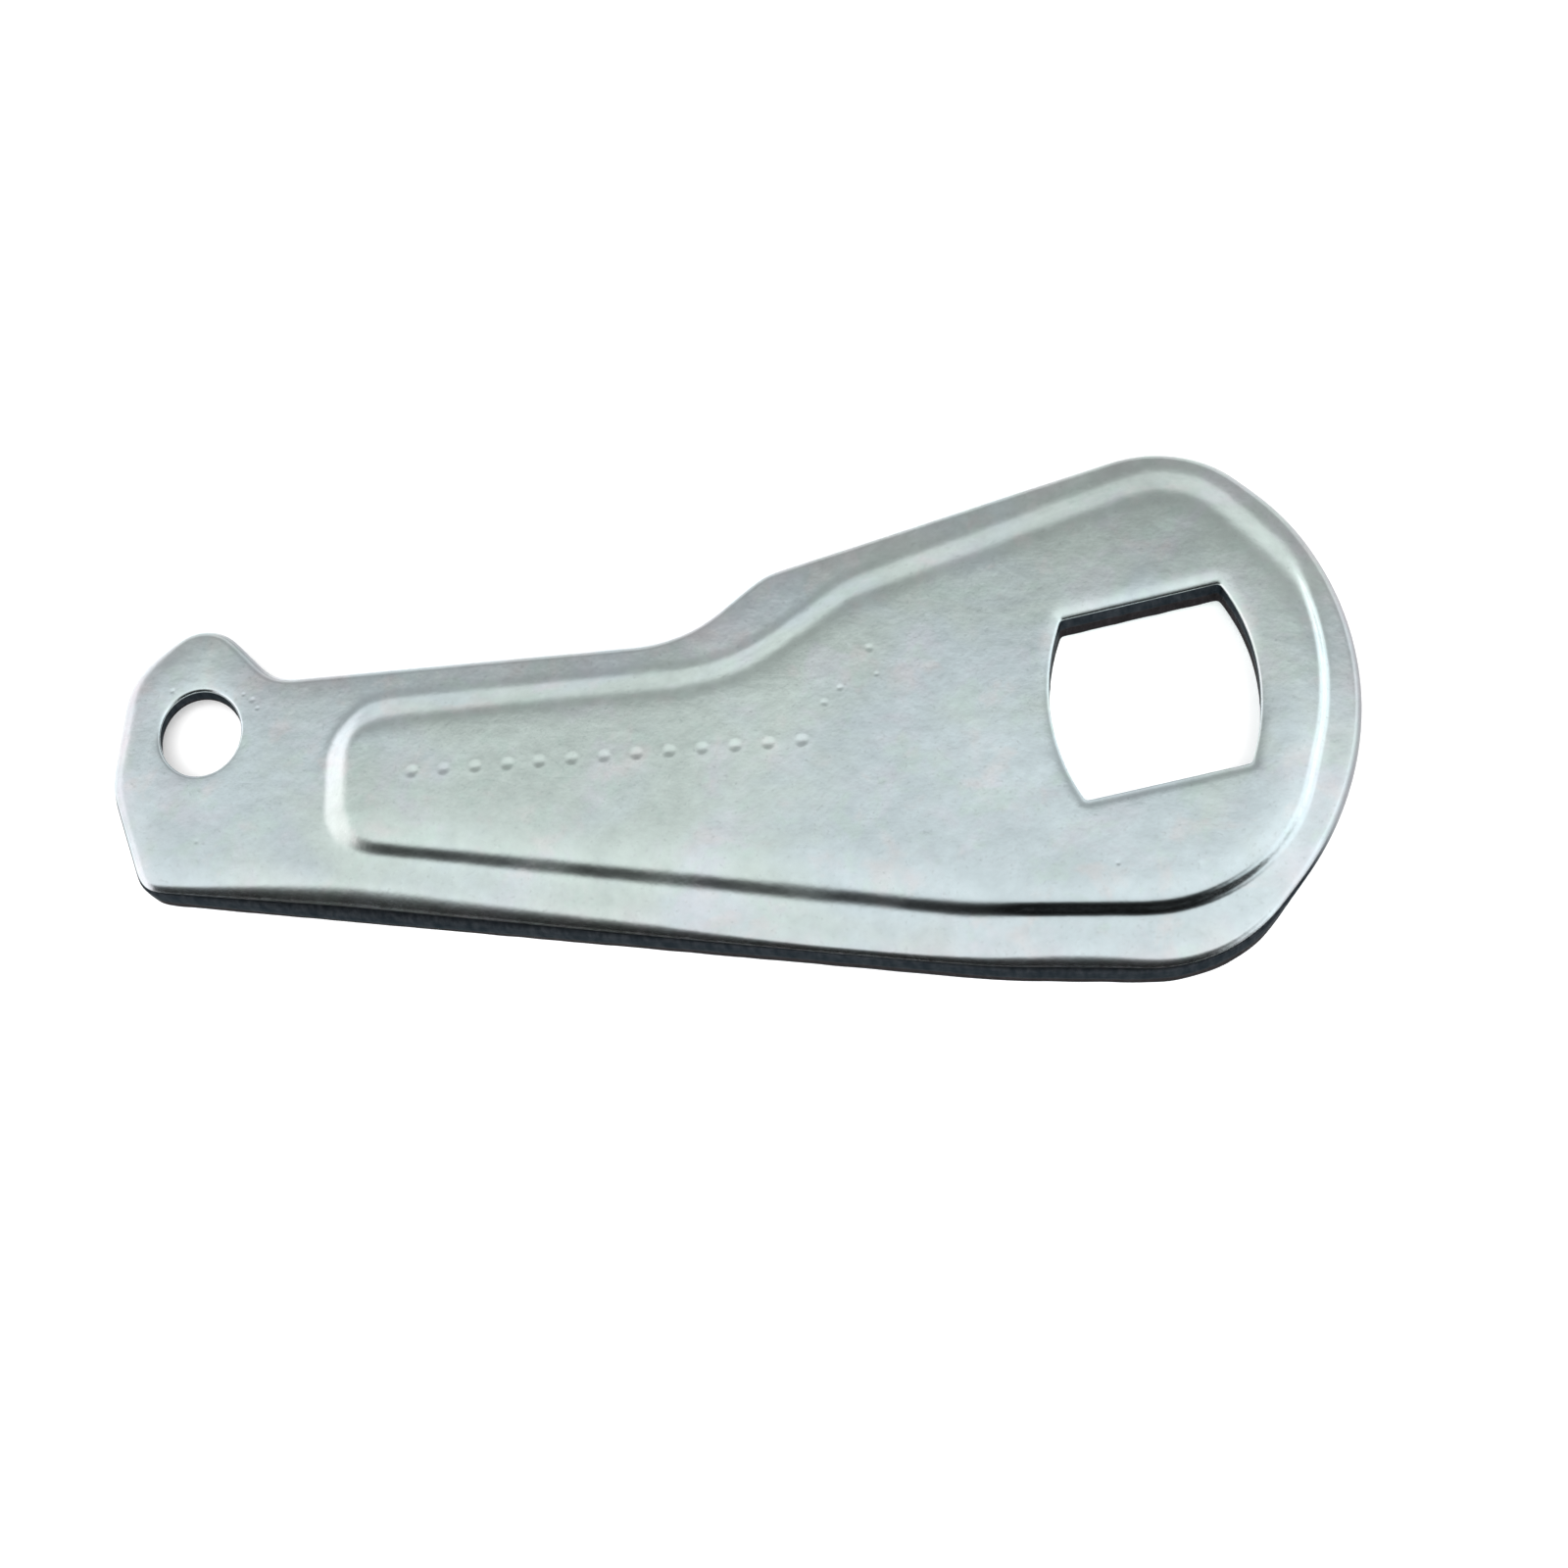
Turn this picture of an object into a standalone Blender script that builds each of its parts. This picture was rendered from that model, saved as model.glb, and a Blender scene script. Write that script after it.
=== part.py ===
"""Fire hydrant wrench: a one-piece lever wrench blanked and pressed from thick steel plate.

World frame: +X runs from the lanyard end to the drive head, +Y across the
wrench to the side that carries the lanyard ear, +Z out of the raised face.
The underside rests on z = 0, and the origin is under the middle of the blank.
Dimensions are in millimetres and become metres in place(). The sketches share
a drawing origin on the handle's centre line, which place() moves to the part's.
"""
import math

import bmesh
import bpy
from mathutils import Vector

MM = 0.001
NAME = "wrench_body"

# ---------------------------------------------------------------- plate and pressing (mm)
PLATE_T = 6.0            # plate thickness
BURR_BREAK = 0.3         # broken burr on the underside edge
EDGE_ROUND = 1.8         # inward run of the rolled top edge
EDGE_DROP = EDGE_ROUND * 0.8   # height of the rolled top edge
EDGE_STEPS = 4
FILLET_STEP = 0.10       # largest angle between points on a fillet, radians

PANEL_RISE = 2.0         # how far the middle panel is pressed up out of the rim
PANEL_TOP = PLATE_T + PANEL_RISE
WALL_OUT = 1.0           # the pressed wall starts this far outside the panel's sketch line ...
WALL_IN = 2.6            # ... and reaches the panel this far inside it
WALL_STEPS = 6
FOOT_SINK = 0.02         # the wall's foot is sunk past the plate face for a clean Boolean
BOSS_ROOT = 0.6          # depth of the raised panel's root inside the plate
BOSS_SKIRT = 0.12        # how far that root spreads beyond the wall's foot
HOLLOW_INSET = 0.9       # the hollow's wall lies this far inside the raised panel's
HOLLOW_SKIRT = 0.25      # spread of the hollow's cutter below the underside
OVERRUN = 1.0            # how far the hollow and lanyard cutters pass the plate faces

# ---------------------------------------------------------------- sketches (mm)
# Blank outline: corners (x, y, fillet radius), anticlockwise from the heel.
OUTLINE = [
    (-99.1, -18.1, 4.6),         # heel of the handle end
    (32.6, -28.3, 86.2),         # long straight edge meets the head
    (64.5, -28.1, 23.4),         # head, -Y corner
    (91.9, 10.7, 51.8),          # head, +X end
    (74.1, 45.5, 40.8),          # head, between the end and the crown
    (57.9, 60.5, 18.5),          # head, crown on the +Y side
    (-6.5, 37.0, 9.0),           # shoulder above the step
    (-18.5, 25.1, 20.1),         # foot of the step
    (-84.6, 19.0, 7.9),          # notch beside the ear
    (-98.2, 31.0, 7.8),          # tip of the ear
    (-110.0, 20.3, 12.2),        # back of the ear
    (-108.5, -0.2, 14.9),        # -X side of the handle end
]

# Raised panel's sketch line: same columns and direction. The pressed wall crosses it.
PANEL = [
    (-69.4, -11.3, 9.0),
    (28.5, -20.9, 50.0),
    (72.0, -20.1, 25.0),
    (80.4, 18.6, 50.0),
    (75.0, 36.8, 22.0),
    (58.3, 55.2, 13.5),
    (6.9, 34.0, 13.0),
    (-9.6, 19.4, 28.0),
    (-73.0, 13.1, 9.0),
]

# ---------------------------------------------------------------- holes (mm)
# Drive hole: two flats and two bowed sides.
DRIVE_CENTRE = (53.8, 14.6)
DRIVE_TURN = 14.5        # degrees from +X to the direction of the flats
DRIVE_FLATS = 30.0       # across the flats
DRIVE_FLAT_HALF = 12.0   # half the length of each flat
DRIVE_BOW = 3.3          # how far each bowed side bulges past the flat ends
DRIVE_LEAN = 6.5         # degrees by which the bowed sides lean off square
DRIVE_OVERRUN = 2.0      # how far the cutter passes the underside and the panel
BOW_STEPS = 14

# Lanyard hole: round, relieved at the underside so that cord doesn't chafe.
LANYARD_CENTRE = (-94.9, 8.9)
LANYARD_DIA = 14.0
LANYARD_LAND = 3.2       # depth of the straight bore below the top face
LANYARD_RELIEF = 2.4     # growth of the radius at the underside
LANYARD_STEPS = 56

# ---------------------------------------------------------------- finishing
MERGE_DIST = 0.02 * MM        # vertices closer than this are merged
DEGENERATE_DIST = 0.01 * MM   # edges shorter than this are dissolved
SHARP_ANGLE = 32              # degrees between faces above which an edge is shaded sharp


# ---------------------------------------------------------------- sketch helpers
def filleted(corners):
    """Points and outward normals (x, y, nx, ny) round a sketch with filleted corners."""
    loop = []
    for i, (x, y, radius) in enumerate(corners):
        last_x, last_y, _ = corners[i - 1]
        next_x, next_y, _ = corners[(i + 1) % len(corners)]
        heading = math.atan2(y - last_y, x - last_x)
        heading_out = math.atan2(next_y - y, next_x - x)
        turn = (heading_out - heading + math.pi) % (2 * math.pi) - math.pi
        # The signed radius puts the centre left of the path on a left turn, else right.
        arc = math.copysign(radius, turn)
        run = radius * math.tan(abs(turn) / 2)
        centre_x = x - run * math.cos(heading) - arc * math.sin(heading)
        centre_y = y - run * math.sin(heading) + arc * math.cos(heading)
        steps = max(3, math.ceil(abs(turn) / FILLET_STEP))
        for j in range(steps + 1):
            angle = heading + turn * j / steps
            nx, ny = math.sin(angle), -math.cos(angle)
            loop.append((centre_x + arc * nx, centre_y + arc * ny, nx, ny))
    return loop


def offset(loop, distance):
    """Parallel curve of a filleted sketch, moved outwards by distance."""
    return [(x + distance * nx, y + distance * ny) for x, y, nx, ny in loop]


def circle(centre, radius, steps):
    angles = [2 * math.pi * j / steps for j in range(steps)]
    return [(centre[0] + radius * math.cos(angle),
             centre[1] + radius * math.sin(angle)) for angle in angles]


def drive_loop():
    """The drive hole, anticlockwise: two bowed arcs whose joined ends make the flats."""
    half = DRIVE_FLATS / 2
    radius = (half ** 2 + DRIVE_BOW ** 2) / (2 * DRIVE_BOW)
    reach = math.asin(half / radius)
    arc_centre = DRIVE_FLAT_HALF + DRIVE_BOW - radius
    lean = math.tan(math.radians(DRIVE_LEAN))
    turn = math.radians(DRIVE_TURN)
    points = []
    for flip in (1.0, -1.0):
        for j in range(BOW_STEPS + 1):
            angle = -reach + 2 * reach * j / BOW_STEPS
            across = flip * radius * math.sin(angle)
            along = flip * (arc_centre + radius * math.cos(angle)) + lean * across
            points.append((
                DRIVE_CENTRE[0] + along * math.cos(turn) - across * math.sin(turn),
                DRIVE_CENTRE[1] + along * math.sin(turn) + across * math.cos(turn),
            ))
    return points


outline = filleted(OUTLINE)
panel = filleted(PANEL)

# Middle of the blank's extent in the drawing.
ORIGIN = tuple((min(p[axis] for p in outline) + max(p[axis] for p in outline)) / 2
               for axis in (0, 1))


# ---------------------------------------------------------------- solid helpers
def place(x, y, z):
    """Drawing millimetres to world metres."""
    return Vector(((x - ORIGIN[0]) * MM, (y - ORIGIN[1]) * MM, z * MM))


def stack(name, rings, collection):
    """A closed solid from matched rings [(points, z), ...] listed from the bottom up.

    The first ring becomes a face, and each further ring is one extrusion of it.
    """
    bm = bmesh.new()
    points, z = rings[0]
    cap = bm.faces.new([bm.verts.new(place(x, y, z)) for x, y in points])
    for points, z in rings[1:]:
        cap = bmesh.ops.extrude_discrete_faces(bm, faces=[cap])["faces"][0]
        for vert, (x, y) in zip(cap.verts, points):
            vert.co = place(x, y, z)
    # The first extrusion consumes the starting face, so the floor is closed here.
    floor = [edge for edge in bm.edges if edge.is_boundary]
    bmesh.ops.holes_fill(bm, edges=floor, sides=0)
    bmesh.ops.recalc_face_normals(bm, faces=bm.faces)
    mesh = bpy.data.meshes.new(name)
    bm.to_mesh(mesh)
    bm.free()
    solid = bpy.data.objects.new(name, mesh)
    collection.objects.link(solid)
    return solid


def boolean(target, tool, operation):
    modifier = target.modifiers.new(tool.name, "BOOLEAN")
    modifier.operation = operation
    modifier.solver = "EXACT"
    modifier.object = tool
    tool.hide_render = True
    tool.display_type = "WIRE"


# ---------------------------------------------------------------- pieces
def rim_plate(collection):
    """The flat blank, with its broken lower edge and its rolled top edge."""
    rings = [(offset(outline, -BURR_BREAK), 0.0), (offset(outline, 0.0), BURR_BREAK)]
    for j in range(EDGE_STEPS + 1):
        angle = math.radians(90 * j / EDGE_STEPS)
        rings.append((offset(outline, -EDGE_ROUND * (1 - math.cos(angle))),
                      PLATE_T - EDGE_DROP + EDGE_DROP * math.sin(angle)))
    return stack(NAME, rings, collection)


def pressed_solid(name, collection, face_z, inset, skirt, skirt_z):
    """A solid with the pressed wall's smooth S profile, rising from face_z.

    A first ring at skirt_z, wider than the wall's foot by skirt, closes it below.
    """
    rings = [(offset(panel, WALL_OUT - inset + skirt), skirt_z)]
    for j in range(WALL_STEPS + 1):
        t = j / WALL_STEPS
        distance = WALL_OUT - (WALL_OUT + WALL_IN) * t
        height = PANEL_RISE * t * t * (3 - 2 * t) if j else -FOOT_SINK
        rings.append((offset(panel, distance - inset), face_z + height))
    return stack(name, rings, collection)


def drive_punch(collection):
    loop = drive_loop()
    rings = [(loop, -DRIVE_OVERRUN), (loop, PANEL_TOP + DRIVE_OVERRUN)]
    return stack("drive_punch", rings, collection)


def lanyard_punch(collection):
    """A straight bore above a cone that widens to and past the underside."""
    radius = LANYARD_DIA / 2
    land_z = PLATE_T - LANYARD_LAND
    foot_radius = radius + LANYARD_RELIEF * (land_z + OVERRUN) / land_z
    levels = [(foot_radius, -OVERRUN), (radius, land_z), (radius, PLATE_T + OVERRUN)]
    rings = [(circle(LANYARD_CENTRE, size, LANYARD_STEPS), z) for size, z in levels]
    return stack("lanyard_punch", rings, collection)


def bake(body):
    """Apply the Booleans to the body's own mesh, then clean and shade it."""
    depsgraph = bpy.context.evaluated_depsgraph_get()
    mesh = bpy.data.meshes.new_from_object(body.evaluated_get(depsgraph))
    body.modifiers.clear()
    body.data = mesh
    mesh.name = NAME
    bm = bmesh.new()
    bm.from_mesh(mesh)
    bmesh.ops.remove_doubles(bm, verts=bm.verts, dist=MERGE_DIST)
    bmesh.ops.dissolve_degenerate(bm, edges=bm.edges, dist=DEGENERATE_DIST)
    bmesh.ops.recalc_face_normals(bm, faces=bm.faces)
    bm.to_mesh(mesh)
    bm.free()
    mesh.shade_smooth()
    mesh.set_sharp_from_angle(angle=math.radians(SHARP_ANGLE))


def zinc_plated_steel():
    material = bpy.data.materials.new("zinc_plated_steel")
    material.use_nodes = True
    settings = {
        "Base Color": (0.56, 0.62, 0.62, 1.0),
        "Metallic": 1.0,
        "Roughness": 0.38,
    }
    shader = material.node_tree.nodes["Principled BSDF"]
    for socket, value in settings.items():
        shader.inputs[socket].default_value = value
    return material


def new_collection(name):
    collection = bpy.data.collections.new(name)
    bpy.context.scene.collection.children.link(collection)
    return collection


# ---------------------------------------------------------------- build
for old in list(bpy.data.objects):
    bpy.data.objects.remove(old, do_unlink=True)

parts = new_collection("hydrant_wrench")
cutters = new_collection("cutters")

wrench = rim_plate(parts)
boss = pressed_solid("panel_press", cutters, face_z=PLATE_T, inset=0.0,
                     skirt=BOSS_SKIRT, skirt_z=PLATE_T - BOSS_ROOT)
# The matching hollow in the underside lies one plate thickness lower.
hollow = pressed_solid("panel_hollow", cutters, face_z=0.0, inset=HOLLOW_INSET,
                       skirt=HOLLOW_SKIRT, skirt_z=-OVERRUN)

boolean(wrench, boss, "UNION")
for cutter in (hollow, drive_punch(cutters), lanyard_punch(cutters)):
    boolean(wrench, cutter, "DIFFERENCE")
bake(wrench)

wrench.data.materials.clear()
wrench.data.materials.append(zinc_plated_steel())
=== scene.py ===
"""A pressed and sheared wrench plate in bright zinc, on a pale studio floor.

The plate lies flat with its underside at z = 0 and its raised panel up (+Z). The handle's end
points to -X, the head to +X, and the long straight edge (the front) faces -Y. The design is in
drawing millimetres; the part's origin is under the middle of the blank's box.
"""
import math

import bpy
import numpy as np
from mathutils import Matrix, Vector
from mathutils.geometry import delaunay_2d_cdt
from mathutils.kdtree import KDTree


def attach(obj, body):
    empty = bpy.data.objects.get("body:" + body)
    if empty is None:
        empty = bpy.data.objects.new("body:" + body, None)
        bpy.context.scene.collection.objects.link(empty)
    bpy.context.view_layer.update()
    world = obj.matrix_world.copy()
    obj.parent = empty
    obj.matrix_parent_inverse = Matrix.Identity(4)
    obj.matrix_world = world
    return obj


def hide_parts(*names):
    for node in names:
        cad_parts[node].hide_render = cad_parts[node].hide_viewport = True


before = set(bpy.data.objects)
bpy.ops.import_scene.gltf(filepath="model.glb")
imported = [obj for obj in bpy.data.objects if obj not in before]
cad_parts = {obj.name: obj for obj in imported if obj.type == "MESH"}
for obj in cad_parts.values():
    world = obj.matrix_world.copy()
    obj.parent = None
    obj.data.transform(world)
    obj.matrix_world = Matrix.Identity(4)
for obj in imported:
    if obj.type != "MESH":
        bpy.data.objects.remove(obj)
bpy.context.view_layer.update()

# ======================================================================================
#  Design sizes, in drawing millimetres
# ======================================================================================
NODE = "wrench_body"
MM = 0.001                    # metres in a millimetre
PLATE_T = 6.0
PANEL_RISE = 2.0

# Sketch corners, anticlockwise: x, y, fillet radius
OUTLINE = [
    (-99.1, -18.1, 4.6), (32.6, -28.3, 86.2), (64.5, -28.1, 23.4), (91.9, 10.7, 51.8),
    (74.1, 45.5, 40.8), (57.9, 60.5, 18.5), (-6.5, 37.0, 9.0), (-18.5, 25.1, 20.1),
    (-84.6, 19.0, 7.9), (-98.2, 31.0, 7.8), (-110.0, 20.3, 12.2), (-108.5, -0.2, 14.9),
]
PANEL = [
    (-69.4, -11.3, 9.0), (28.5, -20.9, 50.0), (72.0, -20.1, 25.0), (80.4, 18.6, 50.0),
    (75.0, 36.8, 22.0), (58.3, 55.2, 13.5), (6.9, 34.0, 13.0), (-9.6, 19.4, 28.0),
    (-73.0, 13.1, 9.0),
]

# Drive hole in the head: two bowed sides joined by straight ends
DRIVE_CENTRE = (53.8, 14.6)
DRIVE_TURN = 14.5             # degrees
DRIVE_LENGTH = 30.0           # of each bowed side
DRIVE_HALF_WIDTH = 12.0       # at the ends of the bowed sides
DRIVE_BOW = 3.3
DRIVE_LEAN = 6.5              # degrees

# Lanyard hole in the handle's end: slightly oval, a straight land above a relief cone
LANYARD_CENTRE = (-94.9, 8.9)
LANYARD_SHIFT = (-0.05, 0.22)             # of the oval from the drawn centre
LANYARD_HALF_AXES = (6.65, 7.85)
LANYARD_TURN = 30.0                       # degrees
LANYARD_LAND, LANYARD_RELIEF = 3.2, 2.4   # depth of the land, growth of the cone
LANYARD_SLIP = (-0.75, -0.05)             # the bore's foot lies towards the handle's end
LANYARD_POINTS = 128

# Point spacing along the loops
OUT_STEP, PANEL_STEP, DRIVE_STEP = 0.72, 0.66, 0.36

# Rolled top edge of the blank; the handle's end is rolled wider than the head
ROLL_RUN, ROLL_DROP = 1.5, 1.35
HEEL_RUN, HEEL_DROP, HEEL_DIP = 2.4, 1.15, 0.50
# Along the front edge: x, run of the roll, dip of the rim
FRONT = np.array([
    (-104.0, 0.85, 0.30), (-90.0, 1.75, 0.60), (-76.0, 3.40, 0.90), (-66.0, 4.40, 0.90),
    (-56.0, 3.95, 0.85), (-44.0, 3.25, 0.75), (-30.0, 2.65, 0.70), (-18.0, 2.25, 0.60),
    (-6.0, 1.45, 0.45), (4.0, 1.10, 0.40), (18.0, 1.05, 0.40), (26.0, 1.25, 0.40),
    (34.0, 1.85, 0.45), (46.0, 2.35, 0.50), (54.0, 1.70, 0.40), (62.0, 1.15, 0.35),
    (80.0, 1.00, 0.30),
])
DISH_RUN, DISH_DROP = 8.5, 0.30           # the rim falls away slightly towards its edge
DIP_RUN = 6.0
CORNER_TAPER = 0.9                        # the shear leans in at the head's front corner
DRIVE_ROLL_RUN, DRIVE_ROLL_DROP = 1.9, 0.50
LANYARD_ROLL_RUN, LANYARD_ROLL_DROP = 0.50, 0.42

# A row of round dimples along the handle: x, y
DIMPLES = [(-57.5 + 5.0 * i, 1.2 + 0.42 * i) for i in range(13)]
DIMPLE_R, DIMPLE_DEEP = 1.00, 0.10
DIMPLE_LIP = 0.012                        # height of the raised ring round each dimple
# Small handling dents: x, y, radius, depth
DENTS = [
    (-101.2, 16.6, 0.55, 0.05), (-87.2, 14.9, 0.60, 0.06), (-86.0, 13.4, 0.45, 0.05),
    (-88.9, 15.9, 0.4, 0.04), (-91.3, -9.8, 0.6, 0.03), (11.6, 21.9, 0.8, 0.07),
    (5.4, 12.6, 0.7, 0.06), (7.6, 15.1, 0.6, 0.06), (13.0, 17.4, 0.5, 0.04),
    (48.9, -13.2, 0.5, 0.05), (60.6, -13.4, 0.8, 0.09), (-30.5, -19.4, 0.5, 0.03),
    (38.0, 46.6, 0.6, 0.04),
]
# Broad lighter or darker patches on the metal's colour: x, y, spread, strength
TONES = [
    (-97.0, 22.0, 7.0, 0.11), (-66.0, -5.0, 7.0, -0.09), (-4.0, 16.0, 9.0, 0.10),
    (22.0, 26.0, 9.0, 0.05), (2.0, -4.0, 10.0, 0.04), (30.0, 8.0, 11.0, 0.13),
    (55.0, 46.0, 10.0, -0.13), (86.0, 14.0, 7.0, 0.03), (56.0, -12.0, 8.0, 0.04),
    (-55.0, 18.0, 7.0, 0.05), (-25.0, 22.0, 7.0, 0.05),
]


# ======================================================================================
#  Shaping functions
# ======================================================================================
def wave_field(seed, wavelength, count=14):
    """Smooth noise over x, y made of a few random plane waves."""
    draw = np.random.default_rng(seed)
    heading = draw.uniform(0, 2 * np.pi, count)
    rate = 2 * np.pi / (wavelength * draw.uniform(0.7, 1.5, count))
    rate_x, rate_y = rate * np.cos(heading), rate * np.sin(heading)
    phase = draw.uniform(0, 2 * np.pi, count)

    def wave(x, y):
        waves = np.sin(x[..., None] * rate_x + y[..., None] * rate_y + phase)
        return waves.sum(-1) / math.sqrt(count / 2)

    return wave


def smoothstep(start, end, x):
    t = np.clip((x - start) / (end - start), 0.0, 1.0)
    return t * t * (3 - 2 * t)


def fall(distance, run, power):
    """1 at the edge, easing to 0 at the run."""
    return np.clip(1 - distance / run, 0, 1) ** power


def rolled(distance, run, power=2):
    """Drop of a rounded edge: 1 at the edge, 0 from the run inwards."""
    return 1 - np.sqrt(np.clip(1 - fall(distance, run, power), 0, 1))


# ======================================================================================
#  Sketch loops
# ======================================================================================
def resample(points, step):
    """Even spacing round a closed polyline."""
    closed = np.vstack([points, points[:1]])
    keep = np.append(np.hypot(*np.diff(closed, axis=0).T) > 1e-9, True)
    closed = closed[keep]
    lengths = np.hypot(*np.diff(closed, axis=0).T)
    along = np.concatenate([[0], np.cumsum(lengths)])
    count = int(round(along[-1] / step))
    at = np.arange(count) * along[-1] / count
    return np.stack([np.interp(at, along, closed[:, 0]), np.interp(at, along, closed[:, 1])], 1)


def filleted(corners, step):
    """Evenly spaced points round a closed sketch with filleted corners."""
    points = []
    for i, (x1, y1, radius) in enumerate(corners):
        x0, y0, _ = corners[i - 1]
        x2, y2, _ = corners[(i + 1) % len(corners)]
        a = math.atan2(y1 - y0, x1 - x0)
        b = math.atan2(y2 - y1, x2 - x1)
        turn = (b - a + math.pi) % (2 * math.pi) - math.pi
        side = 1.0 if turn >= 0 else -1.0
        run = radius * math.tan(abs(turn) / 2)
        centre_x = x1 - run * math.cos(a) - side * radius * math.sin(a)
        centre_y = y1 - run * math.sin(a) + side * radius * math.cos(a)
        steps = max(6, math.ceil(radius * abs(turn) / 0.1))
        points += [(centre_x + side * radius * math.sin(a + turn * j / steps),
                    centre_y - side * radius * math.cos(a + turn * j / steps))
                   for j in range(steps + 1)]
    return resample(np.array(points), step)


def soften(values, length, step):
    """Gaussian smoothing round a loop; eases the joins of arcs and lines."""
    half = int(4 * length / step)
    shifts = range(-half, half + 1)
    weights = np.exp(-0.5 * (np.arange(-half, half + 1) * step / length) ** 2)
    weights /= weights.sum()
    out = np.zeros_like(values)
    for weight, shift in zip(weights, shifts):
        out += weight * np.roll(values, shift, axis=0)
    return out


def turned(points, degrees):
    c, s = math.cos(math.radians(degrees)), math.sin(math.radians(degrees))
    u, v = points.T
    return np.stack([u * c - v * s, u * s + v * c], 1)


def drive_outline():
    half = DRIVE_LENGTH / 2
    radius = (half ** 2 + DRIVE_BOW ** 2) / (2 * DRIVE_BOW)
    reach = math.asin(half / radius)
    middle = DRIVE_HALF_WIDTH + DRIVE_BOW - radius
    lean = math.tan(math.radians(DRIVE_LEAN))
    points = []
    for flip in (1.0, -1.0):
        for angle in np.linspace(-reach, reach, 160):
            v = flip * radius * math.sin(angle)
            points.append((flip * (middle + radius * math.cos(angle)) + lean * v, v))
    return resample(turned(np.array(points), DRIVE_TURN) + DRIVE_CENTRE, DRIVE_STEP)


def lanyard_outline():
    angle = np.arange(LANYARD_POINTS) * 2 * np.pi / LANYARD_POINTS - math.radians(LANYARD_TURN)
    half_u, half_v = LANYARD_HALF_AXES
    oval = np.stack([half_u * np.cos(angle), half_v * np.sin(angle)], 1)
    return turned(oval, LANYARD_TURN) + LANYARD_CENTRE + LANYARD_SHIFT


class Loop:
    """An anticlockwise closed polyline with its outward normals."""

    def __init__(self, points):
        self.points = points
        self.x, self.y = points.T
        tangent = np.roll(points, -1, 0) - np.roll(points, 1, 0)
        tangent /= np.hypot(*tangent.T)[:, None]
        self.normals = np.stack([tangent[:, 1], -tangent[:, 0]], 1)
        self.tree = KDTree(len(points))
        for i, (x, y) in enumerate(points):
            self.tree.insert((x, y, 0.0), i)
        self.tree.balance()

    def grown(self, by):
        """The points moved outward by one distance, or by one for each point."""
        return self.points + self.normals * np.reshape(by, (-1, 1))

    def distance(self, pts):
        """For each point: distance, side (1 inside, -1 outside) and nearest loop point."""
        near = np.array([self.tree.find((x, y, 0.0))[1] for x, y in pts])
        best = np.full(len(pts), 1e18)
        sign = np.ones(len(pts))
        for step in (-1, 0):
            start = self.points[(near + step) % len(self.points)]
            along = self.points[(near + step + 1) % len(self.points)] - start
            t = np.clip(((pts - start) * along).sum(1) / (along ** 2).sum(1), 0, 1)
            foot = start + t[:, None] * along
            gap = np.hypot(*(pts - foot).T)
            better = gap < best
            best = np.where(better, gap, best)
            side = -((pts - foot) * self.normals[near]).sum(1)
            sign = np.where(better, np.where(side >= 0, 1.0, -1.0), sign)
        return best, sign, near

    def depth(self, pts):
        """Signed distance, positive inside, and the nearest loop point."""
        gap, sign, near = self.distance(pts)
        return gap * sign, near

    def contains(self, pts):
        x0, y0 = self.x, self.y
        x1, y1 = np.roll(x0, -1), np.roll(y0, -1)
        result = np.zeros(len(pts), bool)
        for lo in range(0, len(pts), 4000):
            x, y = pts[lo:lo + 4000, 0][:, None], pts[lo:lo + 4000, 1][:, None]
            crossing = (y0 > y) != (y1 > y)
            crossing &= x < (x1 - x0) * (y - y0) / (y1 - y0 + 1e-30) + x0
            result[lo:lo + 4000] = crossing.sum(1) % 2 == 1
        return result


OUT = Loop(soften(filleted(OUTLINE, OUT_STEP), 1.1, OUT_STEP))
PAN = Loop(soften(filleted(PANEL, PANEL_STEP), 1.5, PANEL_STEP))
DRIVE = Loop(soften(drive_outline(), 0.30, DRIVE_STEP))
LANYARD = Loop(lanyard_outline())

blank = filleted(OUTLINE, 0.2)
ORIGIN = (blank.min(0) + blank.max(0)) / 2

# 1 along the front edge, 0 elsewhere
FRONTNESS = smoothstep(0.15, 0.75, -OUT.normals[:, 1])


def edge_profile():
    """Run, drop, dip, curve power and shear taper at each point of the outline."""
    x, (nx, ny) = OUT.x, OUT.normals.T
    heel = smoothstep(0.35, 0.85, -nx) * (1 - smoothstep(-100.0, -92.0, x)) * (1 - FRONTNESS)
    front_run = np.interp(x, FRONT[:, 0], FRONT[:, 1])
    run = ROLL_RUN + (front_run - ROLL_RUN) * FRONTNESS + (HEEL_RUN - ROLL_RUN) * heel
    # the front drop follows the run
    drop = ROLL_DROP + (0.55 * run + 0.50 - ROLL_DROP) * FRONTNESS + (HEEL_DROP - ROLL_DROP) * heel
    dip = np.interp(x, FRONT[:, 0], FRONT[:, 2]) * FRONTNESS + HEEL_DIP * heel
    power = 2.1 - 0.5 * FRONTNESS
    taper = CORNER_TAPER * smoothstep(0.70, 0.90, nx) * (1 - smoothstep(-0.15, 0.25, ny))
    taper = taper * smoothstep(50.0, 62.0, x)
    return [soften(values, 3.0, OUT_STEP) for values in (run, drop, dip, power, taper)]


RUN, DROP, DIP, POWER, TAPER = edge_profile()


# ======================================================================================
#  Surface heights
# ======================================================================================
WALL_S = np.linspace(-8.0, 16.0, 4801)    # distance inward from the panel's sketch


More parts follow.
